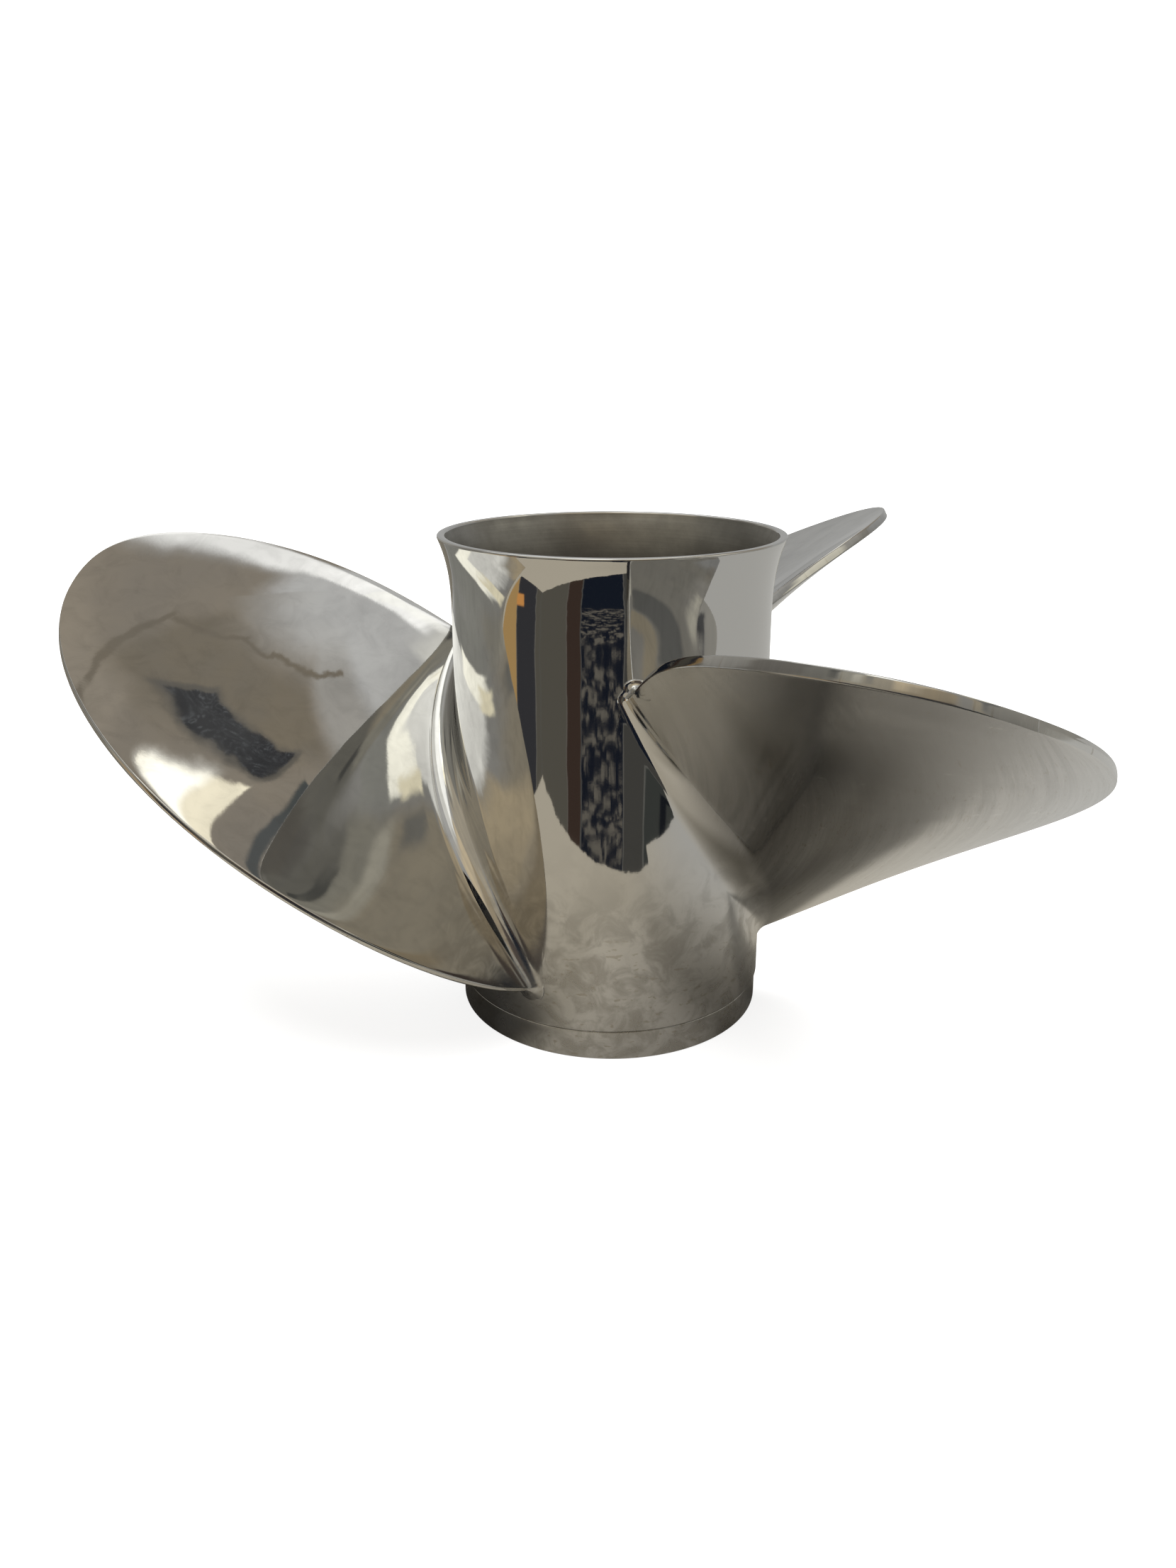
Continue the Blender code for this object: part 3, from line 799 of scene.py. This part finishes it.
class MESH_OT_propeller_hub(bpy.types.Operator):
    """Inner hub with its bored seat, and the three webs that carry it"""
    bl_idname = "mesh.propeller_hub"
    bl_label = "Inner hub"

    def execute(self, context):
        hub, bore = context.scene.propeller_hub, context.scene.propeller_barrel.bore_radius
        bottom, top = (corner.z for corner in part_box("inner_hub"))
        foot, head = (corner.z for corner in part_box("hub_rib_1"))
        edge = hub.hub_edge
        profile = rounded((hub.radius - edge, bottom + edge), edge, -90, 0)
        profile += rounded((hub.radius - edge, top - edge), edge, 0, 90)
        profile += rounded((hub.bore + edge, top - edge), edge, 90, 180)
        profile += rounded((hub.bore + edge, bottom + edge), edge, 180, 270)
        shape = bmesh.new()
        shape.verts.layers.int.new("index")
        for _ in range(3):
            grow_web(shape, hub, bore, foot, head)
            bmesh.ops.rotate(shape, verts=shape.verts, cent=(0, 0, 0),
                             matrix=Matrix.Rotation(2 * math.pi / 3, 3, "Z"))
        bmesh.ops.rotate(shape, verts=shape.verts, cent=(0, 0, 0),
                         matrix=Matrix.Rotation(math.pi / 2, 3, "Z"))
        turned(shape, profile, ROUND_STEPS)
        bmesh.ops.recalc_face_normals(shape, faces=shape.faces)
        piece = finished("hub_casting", shape)
        piece.data.set_sharp_from_angle(angle=math.radians(50))
        piece.data.materials.append(cast_material(context.scene.propeller_finish))
        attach(piece, "root")
        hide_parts("inner_hub", "hub_rib_1", "hub_rib_2", "hub_rib_3")
        return {"FINISHED"}


class MESH_OT_propeller_bush(bpy.types.Operator):
    """Rubber bush between the inner hub and the splined sleeve, with moulded lips"""
    bl_idname = "mesh.propeller_bush"
    bl_label = "Rubber bush"

    def execute(self, context):
        hub = context.scene.propeller_hub
        bottom, top = (corner.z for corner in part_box("rubber_bush"))
        inner, outer, lip = hub.sleeve_radius, hub.bore, hub.bush_lip
        face = rounded((outer - lip, -lip), lip, 0, 90)
        face += [(outer - LIP_WIDTH * lip, -LIP_DEPTH * lip), (inner + LIP_WIDTH * lip, -LIP_DEPTH * lip)]
        face += rounded((inner + lip, -lip), lip, 90, 180)
        profile = [(radius, top + rise) for radius, rise in face]
        profile += [(radius, bottom - rise) for radius, rise in reversed(face)]
        shape = bmesh.new()
        turned(shape, profile, ROUND_STEPS)
        bmesh.ops.recalc_face_normals(shape, faces=shape.faces)
        piece = finished("bush", shape)
        piece.data.materials.append(rubber_material(context.scene.propeller_finish))
        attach(piece, "root")
        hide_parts("rubber_bush")
        return {"FINISHED"}


def spline_radius(hub, angle):
    """Radius of the splined bore at an angle: flat tops, sloping flanks and flat bottoms."""
    share = (angle * hub.splines / (2 * math.pi)) % 1
    rise = smooth((abs(share - 0.5) - SPLINE_TOP) / SPLINE_FLANK)
    return hub.spline_crest + (hub.spline_root - hub.spline_crest) * rise


def spline_place(hub, vert, cone, height):
    """Where a point of the splined bore lies, opened out to a lead-in cone's radius."""
    angle = math.atan2(vert.co.y, vert.co.x)
    radius = max(cone, spline_radius(hub, angle))
    return radius * math.cos(angle), radius * math.sin(angle), height


class MESH_OT_propeller_sleeve(bpy.types.Operator):
    """Brass sleeve with the splines that the shaft drives"""
    bl_idname = "mesh.propeller_sleeve"
    bl_label = "Splined sleeve"

    def execute(self, context):
        hub = context.scene.propeller_hub
        bottom, top = (corner.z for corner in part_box("spline_sleeve"))
        edge, lead = hub.sleeve_edge, hub.spline_lead
        side, mouth = hub.sleeve_radius, hub.spline_root + edge
        shape = bmesh.new()
        bmesh.ops.create_circle(shape, segments=hub.splines * SPLINE_STEPS, radius=side - edge,
                                matrix=Matrix.Translation((0, 0, bottom)))
        first = list(shape.edges)
        outside = rounded((side - edge, bottom + edge), edge, -90, 0)[1:]
        outside += rounded((side - edge, top - edge), edge, 0, 90) + [(mouth, top)]
        edges = ring(shape, first, outside)
        depths = [lead * step / LEAD_STEPS for step in range(1, LEAD_STEPS + 1)]
        rows = [(depth, top - depth) for depth in depths]
        rows += [(depth, bottom + depth) for depth in reversed(depths)]
        for depth, height in rows:
            edges = draw_on(shape, edges, lambda vert: spline_place(hub, vert, mouth - depth, height))
        edges = ring(shape, edges, [(mouth, bottom)])
        bmesh.ops.bridge_loops(shape, edges=first + edges)
        bmesh.ops.recalc_face_normals(shape, faces=shape.faces)
        piece = finished("sleeve", shape)
        piece.data.set_sharp_from_angle(angle=math.radians(40))
        piece.data.materials.append(brass_material(context.scene.propeller_finish))
        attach(piece, "root")
        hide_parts("spline_sleeve")
        return {"FINISHED"}


class MESH_OT_propeller_stage(bpy.types.Operator):
    """Pale floor, soft light and the camera"""
    bl_idname = "mesh.propeller_stage"
    bl_label = "Stage"

    def execute(self, context):
        stage = context.scene.propeller_stage
        shape = bmesh.new()
        bmesh.ops.create_grid(shape, x_segments=1, y_segments=1, size=stage.floor,
                              matrix=Matrix.Translation((0, 0, BASE)))
        floor = finished("floor", shape)
        floor.data.materials.append(floor_material(stage))
        world = bpy.data.worlds.new("studio")
        context.scene.world = world
        world.use_nodes = True
        studio_world(Nodes(world.node_tree))
        context.scene.view_settings.view_transform = "Standard"
        lamp = bpy.data.objects.new("lamp", bpy.data.lights.new("lamp", "SUN"))
        context.scene.collection.objects.link(lamp)
        lamp.location = Vector(stage.lamp_from)
        lamp.rotation_euler = (-lamp.location).to_track_quat("-Z", "Y").to_euler()
        lamp.data.energy = stage.lamp
        lamp.data.angle = stage.lamp_spread
        lamp.visible_glossy = False
        camera = bpy.data.objects.new("camera", bpy.data.cameras.new("camera"))
        context.scene.collection.objects.link(camera)
        camera.location = (0, -stage.camera_distance, BASE + stage.camera_height)
        yaw, pitch = stage.camera_yaw, stage.camera_pitch
        look = Vector((math.sin(yaw) * math.cos(pitch), math.cos(yaw) * math.cos(pitch),
                       -math.sin(pitch)))
        camera.rotation_euler = look.to_track_quat("-Z", "Y").to_euler()
        camera.data.lens = stage.lens
        camera.data.clip_start = 0.01
        context.scene.camera = camera
        return {"FINISHED"}


# The floor as it is seen: white from the lamps, with a glow that keeps shadows faint
FLOOR_WHITE = 0.25
FLOOR_GLOW = 0.84
# The sheet that the steel mirrors, by limits in metres (from, to, and the amounts there unless they
# are 0 and 1), across and then in depth: where its right tone takes over, where painted shade darkens it
# under the left and the right blade, and where painted light brightens it next to and in front of the
# barrel's foot
TONE_CHANGE = (0.02, 0.25)
LEFT_SHADE = ((-0.05, -0.02, 0.6, 0.0),), ((-0.09, -0.06),)
RIGHT_SHADE = ((0.02, 0.05),), ((-0.028, -0.008),)
# The right painted shade ends on a slant, by the depth with this share of the way across added
RIGHT_SHADE_END = (0.0555, 0.0735, 0.55, 0.0)
RIGHT_SHADE_SLOPE = 0.45
FOOT_LIGHT = ((0.04, 0.055), (0.075, 0.09, 0.045, 0.0)), ((-0.055, -0.035), (-0.02, 0.0, 1.0, 0.0))
FRONT_LIGHT = ((-0.045, -0.01), (0.04, 0.08, 0.15, 0.0)), ((-0.22, -0.12), (-0.055, -0.035, 1.0, 0.0))
# The colour of the painted light on the sheet by the barrel's foot
LIGHT_TONE = (1.0, 0.95, 0.86, 1.0)
# How the sheet's front edge swings back and forth across, and how frayed it is
EDGE_SWINGS = ((-0.03, 0.09, 0.0, 0.014), (0.098, 0.106, 0.0, -0.026), (0.12, 0.2, 0.0, 0.014))
FRAY = 0.012


def floor_material(stage):
    """White floor. In the steel it shows as a pale sheet that ends in front of the propeller."""
    material, nodes = new_material("floor")
    position = nodes.position()
    across, depth = nodes.axis(position, 0), nodes.axis(position, 1)

    def zone(sideways, lengthways):
        limits = [(across, *limit) for limit in sideways] + [(depth, *limit) for limit in lengthways]
        return nodes.times(*(nodes.between(*limit) for limit in limits))

    tone = nodes.mix(nodes.between(across, *TONE_CHANGE), tuple(stage.sheet), tuple(stage.sheet_right))
    # painted shade: the sheet is darkened under the left blade
    tone = nodes.mix(zone(*LEFT_SHADE), tone, (0.0, 0.0, 0.0))
    # painted shade: the sheet is darkened under the right blade, ending on a slant
    slanted = nodes.plus(depth, nodes.times(across, RIGHT_SHADE_SLOPE))
    painted_right_shade = nodes.times(zone(*RIGHT_SHADE), nodes.between(slanted, *RIGHT_SHADE_END))
    tone = nodes.mix(painted_right_shade, tone, (0.0, 0.0, 0.0))
    # painted light: a glow on the sheet next to and in front of the barrel's foot
    light = nodes.add("ShaderNodeEmission", {
        "Color": LIGHT_TONE, "Strength": nodes.plus(zone(*FOOT_LIGHT), zone(*FRONT_LIGHT))})
    sheet = nodes.add("ShaderNodeAddShader", {
        0: nodes.add("ShaderNodeBsdfDiffuse", {"Color": tone}), 1: light})
    edge = nodes.math("SUBTRACT", nodes.times(across, stage.sheet_slope), stage.sheet_edge + FRAY / 2)
    edge = nodes.plus(edge, *(nodes.between(across, *swing) for swing in EDGE_SWINGS),
                      nodes.times(nodes.noise(position, 60.0, 4.0, 0.6), FRAY))
    corner = nodes.times(nodes.math("LESS_THAN", across, stage.sheet_corner[0]),
                         nodes.math("LESS_THAN", depth, stage.sheet_corner[1]))
    beyond = nodes.most(nodes.math("LESS_THAN", depth, edge), corner)
    mirrored = nodes.add("ShaderNodeMixShader", {
        0: beyond, 1: sheet, 2: nodes.add("ShaderNodeBsdfTransparent")})
    white = nodes.add("ShaderNodeAddShader", {
        0: nodes.add("ShaderNodeBsdfDiffuse", {"Color": (FLOOR_WHITE, FLOOR_WHITE, FLOOR_WHITE, 1.0)}),
        1: nodes.add("ShaderNodeEmission", {"Strength": FLOOR_GLOW})})
    glossy = nodes.add("ShaderNodeLightPath", output=3)
    shader = nodes.add("ShaderNodeMixShader", {0: glossy, 1: white, 2: mirrored})
    nodes.add("ShaderNodeOutputMaterial", {"Surface": shader})
    return material


# What the steel mirrors of the studio: (colour, azimuths, heights, softness of the edges), with the
# angles in degrees, azimuth 0 in front of the propeller and growing to the right. None leaves a side
# open. Later patches cover earlier ones, and the slanted ones, the cloth, the dark side in front and
# the curtain come after the walls and windows.
WALLS = (
    ((0.52, 0.50, 0.46), (84, None), (-90, 80), 7),
    ((0.36, 0.315, 0.255), (None, -166), (-90, 78), 3),
    ((0.36, 0.315, 0.255), (112, None), (-90, 77), 5),
    ((0.285, 0.245, 0.185), (116, 174), (60, 74), 3),
    ((0.26, 0.223, 0.17), (92, 143), (75.3, 76.2), 0.3),
    ((0.43, 0.375, 0.30), (166, None), (-90, 61), 2),
    ((0.43, 0.375, 0.30), (None, -168), (-90, 61), 2),
    ((0.46, 0.46, 0.45), (100, None), (-12, 24), 2),
    ((0.46, 0.46, 0.45), (None, -160), (-12, 24), 2),
    ((1.60, 1.60, 1.57), (-165, -128), (43, None), 2),
    ((0.22, 0.205, 0.18), (-126, -92), (6, 46), 5),
    ((0.28, 0.27, 0.235), (-95, -64), (12, 50), 6),
    ((0.54, 0.48, 0.37), (-68, 0), (13, 48), 3),
    ((0.48, 0.46, 0.39), (-72, -50), (38, 50), 3),
    ((0.78, 0.74, 0.62), (-57, -48), (38, 47), 2.5),
    ((0.32, 0.31, 0.28), (-44, -37), (42, 47), 1.5),
    ((0.46, 0.38, 0.26), (-16, 45), (24, 38), 3),
    ((0.84, 0.70, 0.48), (-14, 42), (38, 52), 3),
    ((0.36, 0.345, 0.305), (60, 118), (-40, 26), 4),
    ((0.20, 0.20, 0.19), (61, 74), (17, 25), 1.5),
    ((0.49, 0.43, 0.32), (54, 60), (10, 30), 1),
    ((0.05, 0.05, 0.05), (60, 68), (-17.5, -13), 1),
    ((1.15, 1.10, 0.92), (70, 98), (28, 47), 2),
    ((1.60, 1.60, 1.58), (170, None), (26, 44), 2),
    ((1.60, 1.60, 1.58), (None, -168), (26, 44), 2),
    ((0.12, 0.12, 0.11), (-79, -71), (37, 43), 1.5),
)
WINDOWS = (
    ((0.52, 0.52, 0.48), (-66, -46), (51, 68), 2),
    ((1.70, 1.70, 1.67), (-159, 14), (75.5, None), 2.5),
    ((1.80, 1.80, 1.72), (-46, 8), (53, None), 1.5),
    ((1.05, 1.04, 0.97), (0, 30), (54, 74), 4),
    ((2.80, 2.76, 2.45), (-50, -38), (52, 62), 1),
    ((2.10, 1.95, 1.45), (-45, -36), (50.5, 54.5), 1),
)
# Like the windows, but slanted: the azimuth is taken with the height times the first lean added, and
# the height with the azimuth times the second. The last one is the folded cloth's border.
CLOTH_LEAN = (2.889, -0.25)
SLANTED = (
    ((0.26, 0.223, 0.17), (140, 158), (83.7, 84.4), 0.3, (0.0, 0.0625)),
    ((0.26, 0.223, 0.17), (157, 176), (126.2, 127.1), 0.3, (0.0, 0.33)),
    ((0.26, 0.223, 0.17), (145.4, 146.8), (58.5, 69), 0.3, (-0.45, 0.0)),
    ((1.60, 1.48, 1.15), (253, 274), (30, 45.4), 0.5, (2.0, -0.07)),
    ((2.40, 2.38, 2.20), (261, 274), (30, 45.4), 2.0, (2.0, -0.07)),
    ((0.09, 0.10, 0.10), (127, 147), (119.2, 121.0), 0.4, (0.0, 0.5)),
    ((0.18, 0.165, 0.14), (301, 348), (21.3, 30.0), 0.9, CLOTH_LEAN),
)
DARK_SIDE = (
    ((0.10, 0.08, 0.07), (0, 40), (8, 25), 1.5),
    ((0.50, 0.32, 0.13), (-90, -69), (-60, -3), 0.6),
    ((0.045, 0.045, 0.050), (-69, -54), (-60, 10), 0.5),
    ((0.115, 0.107, 0.088), (-54, -31), (-60, 8), 0.6),
    ((0.055, 0.036, 0.028), (-31, -21), (-60, 9), 0.6),
    ((0.010, 0.014, 0.024), (-21, 9), (-60, 12), 0.4),
    ((0.070, 0.068, 0.062), (9, 24), (-60, 12), 0.8),
    ((0.052, 0.056, 0.052), (24, 57), (-60, 10), 1.5),
    ((0.012, 0.014, 0.018), (36, 41), (-60, 10), 1.0),
    ((0.12, 0.115, 0.10), (-50.4, -49.6), (-60, 8), 0.3),
    ((0.10, 0.10, 0.095), (-21.3, -20.6), (-60, 8), 0.2),
    ((0.74, 0.34, 0.10), (-69.5, -64), (-25, -20), 0.6),
)
# How far the patches' edges are torn, in degrees, and how much of that the dark side's upright edges
# take
TORN = 0.9
DARK_TORN = 0.6
# The striped curtain straight in front: its azimuths and heights, and its two tones
CURTAIN = ((-20.5, 8.5), (-23, -5), 0.4)
CURTAIN_TONES = ((0.010, 0.013, 0.022), (0.17, 0.155, 0.13))
# The folded cloth over the left blade: its limits by the cloth's lean, and its two tones
FOLDED_CLOTH = ((303.5, 345.5), (22.3, 29.4), 0.35)
CLOTH_TONES = ((0.16, 0.17, 0.18), (0.045, 0.046, 0.050))


def studio_world(nodes):
    """A soft grey room with pale windows, and a dark side in front of the propeller."""
    direction = nodes.add("ShaderNodeTexCoord")
    x, y, z = (nodes.axis(direction, number) for number in range(3))
    degrees = 180 / math.pi
    azimuth = nodes.times(nodes.math("ARCTAN2", x, nodes.times(y, -1.0)), degrees)
    height = nodes.times(nodes.math("ARCSINE", z), degrees)
    torn = nodes.between(nodes.noise(direction, 11.0, 5.0, 0.6), 0.2, 0.8, -TORN, TORN)
    ragged = nodes.plus(azimuth, torn), nodes.math("SUBTRACT", height, torn)
    uneven = nodes.plus(azimuth, nodes.times(torn, DARK_TORN)), height

    def patch(colour, around, rise, soft, base, seen, lean=(0.0, 0.0)):
        share = 1.0
        turned_by = nodes.plus(seen[0], nodes.times(seen[1], lean[0]))
        risen_by = nodes.plus(seen[1], nodes.times(seen[0], lean[1]))
        for value, (low, high) in ((turned_by, around), (risen_by, rise)):
            if low is not None:
                share = nodes.times(nodes.between(value, low - soft, low + soft), share)
            if high is not None:
                share = nodes.times(nodes.between(value, high - soft, high + soft, 1.0, 0.0), share)
        return nodes.mix(share, base, colour)

    colour = nodes.mix(nodes.between(height, 25.0, 88.0), (0.40, 0.385, 0.35), (0.74, 0.74, 0.73))
    for window in WALLS + WINDOWS:
        colour = patch(*window, colour, ragged)
    for *window, lean in SLANTED:
        colour = patch(*window, colour, ragged, lean)
    folds = nodes.noise(nodes.stretched(direction, (1, 1, 3)), 9.0, 3.0, 0.6, 1.5)
    folds = nodes.between(nodes.math("PINGPONG", folds, 0.05), 0.0, 0.012)
    colour = patch(nodes.mix(folds, *CLOTH_TONES), *FOLDED_CLOTH, colour, ragged, CLOTH_LEAN)
    clouds = nodes.between(nodes.noise(direction, 4.5, 4.0, 0.6), 0.3, 0.7, 0.0, 0.26)
    colour = nodes.mix(clouds, colour, (0.20, 0.20, 0.20))
    for window in DARK_SIDE:
        colour = patch(*window, colour, uneven)
    rows = nodes.add("ShaderNodeCombineXYZ", {
        0: nodes.times(azimuth, 0.15), 1: nodes.times(height, height, 0.055)})
    gaps = nodes.noise(nodes.stretched(rows, (0.5, 0.25, 1)), 1.0)
    weave = nodes.plus(nodes.noise(rows, 1.0, 3.0, 0.6, 0.8), nodes.between(gaps, 0.42, 0.56, -0.06, 0.0))
    threads = nodes.mix(nodes.between(weave, 0.49, 0.55), *CURTAIN_TONES)
    colour = patch(threads, *CURTAIN, colour, uneven)
    room = nodes.add("ShaderNodeBackground", {"Color": colour, "Strength": 1.0})
    white = nodes.add("ShaderNodeBackground", {"Color": (1, 1, 1, 1), "Strength": 1.1})
    seen = nodes.add("ShaderNodeLightPath")
    shader = nodes.add("ShaderNodeMixShader", {0: seen, 1: room, 2: white})
    nodes.add("ShaderNodeOutputWorld", {"Surface": shader})


class VIEW3D_PT_propeller(bpy.types.Panel):
    """The propeller's sizes and finishes, and a button for each piece"""
    bl_label = "Propeller"
    bl_space_type = "VIEW_3D"
    bl_region_type = "UI"
    bl_category = "Propeller"

    def draw(self, context):
        for group in GROUPS:
            sizes = getattr(context.scene, group)
            box = self.layout.box()
            for name in sizes.__annotations__:
                box.prop(sizes, name)
        for operator in OPERATORS:
            self.layout.operator(operator.bl_idname)


GROUPS = {
    "propeller_barrel": BarrelSizes,
    "propeller_blade": BladeSizes,
    "propeller_hub": HubSizes,
    "propeller_finish": FinishColours,
    "propeller_stage": StageSizes,
}
OPERATORS = (MESH_OT_propeller_casting, MESH_OT_propeller_hub, MESH_OT_propeller_bush,
             MESH_OT_propeller_sleeve, MESH_OT_propeller_stage)


def register():
    for kind in (*GROUPS.values(), *OPERATORS, VIEW3D_PT_propeller):
        bpy.utils.register_class(kind)
    for name, kind in GROUPS.items():
        setattr(bpy.types.Scene, name, PointerProperty(type=kind))


def unregister():
    for name in GROUPS:
        delattr(bpy.types.Scene, name)
    for kind in reversed((*GROUPS.values(), *OPERATORS, VIEW3D_PT_propeller)):
        bpy.utils.unregister_class(kind)


def main():
    register()
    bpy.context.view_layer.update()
    bpy.ops.mesh.propeller_casting()
    bpy.ops.mesh.propeller_hub()
    bpy.ops.mesh.propeller_bush()
    bpy.ops.mesh.propeller_sleeve()
    bpy.ops.mesh.propeller_stage()


if __name__ == "__main__":
    main()
